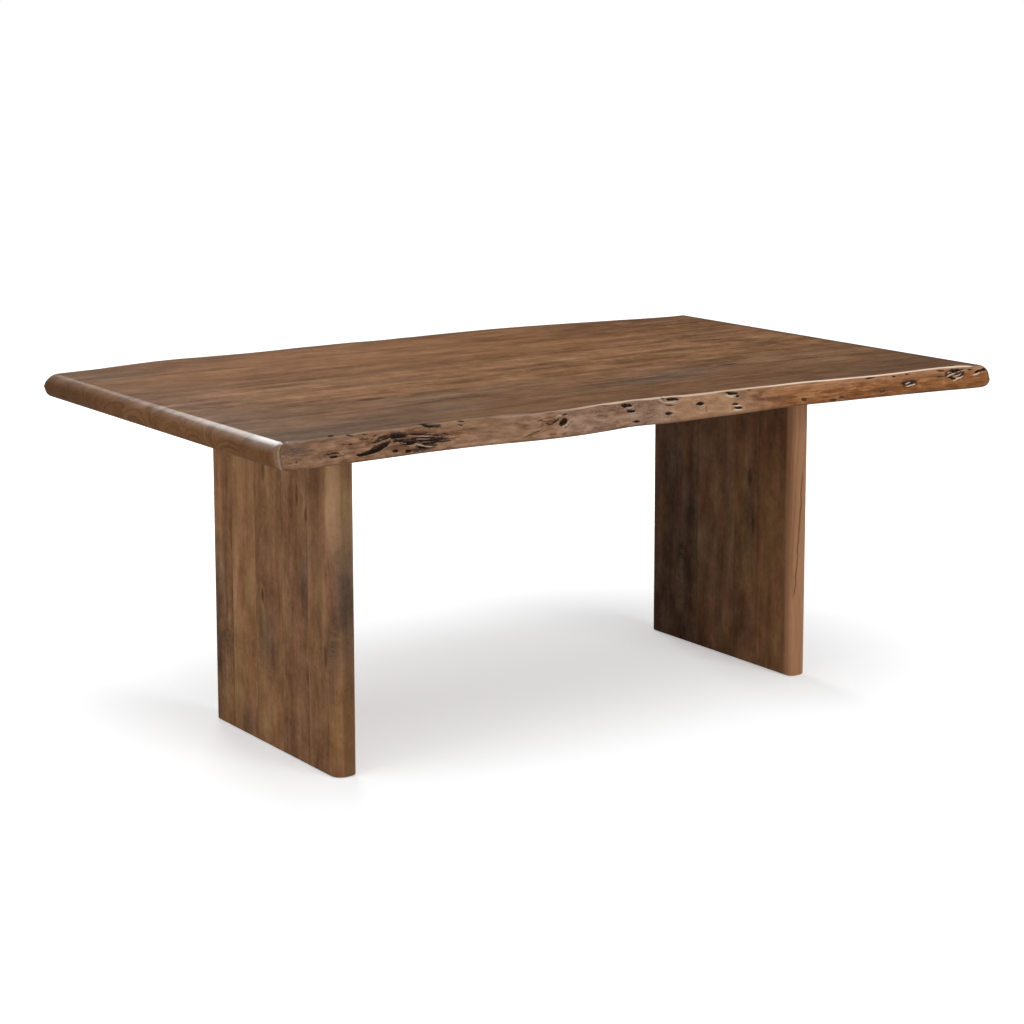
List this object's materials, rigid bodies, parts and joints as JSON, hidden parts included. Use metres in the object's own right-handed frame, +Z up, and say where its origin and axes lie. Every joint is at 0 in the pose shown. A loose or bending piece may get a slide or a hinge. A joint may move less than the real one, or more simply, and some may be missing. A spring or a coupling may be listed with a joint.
{
  "type": "dining table",
  "caption": "Dining table with a thick glued-up wooden top, natural wavy long edges, half-round ends and slab legs.",
  "frame": {"origin": "on the floor under the middle of the table's outline", "axes": "+X along the table, +Y across it towards the back edge, +Z up"},
  "size_m": [1.83, 1.1842, 0.762],
  "materials": {
    "top_wood": "satin walnut-brown stain over figured hardwood",
    "leg_wood": "satin walnut-brown stain over figured hardwood",
    "biscuit_wood": "pressed beech, raw",
    "blackened_steel": "black powder coat",
    "zinc_steel": "bright zinc plate",
    "insert_brass": "turned brass",
    "glide_nylon": "dark brown nylon"
  },
  "bodies": {
    "root": {"top_front_board": "top_wood", "top_board_2": "top_wood", "top_board_3": "top_wood", "top_board_4": "top_wood", "top_board_5": "top_wood", "top_board_6": "top_wood", "top_board_7": "top_wood", "top_back_board": "top_wood", "left_leg_stave_1": "leg_wood", "left_leg_stave_2": "leg_wood", "left_leg_stave_3": "leg_wood", "left_leg_stave_4": "leg_wood", "left_leg_stave_5": "leg_wood", "right_leg_stave_1": "leg_wood", "right_leg_stave_2": "leg_wood", "right_leg_stave_3": "leg_wood", "right_leg_stave_4": "leg_wood", "right_leg_stave_5": "leg_wood", "top_biscuits": "biscuit_wood", "left_leg_biscuits": "biscuit_wood", "right_leg_biscuits": "biscuit_wood", "left_leg_plate": "blackened_steel", "right_leg_plate": "blackened_steel", "channel_left": "blackened_steel", "channel_middle": "blackened_steel", "channel_right": "blackened_steel", "plate_bolts": "zinc_steel", "bolt_washers": "zinc_steel", "leg_screws": "zinc_steel", "channel_screws": "zinc_steel", "glide_screws": "zinc_steel", "threaded_inserts": "insert_brass", "foot_glides": "glide_nylon"}
  },
  "joints": []
}
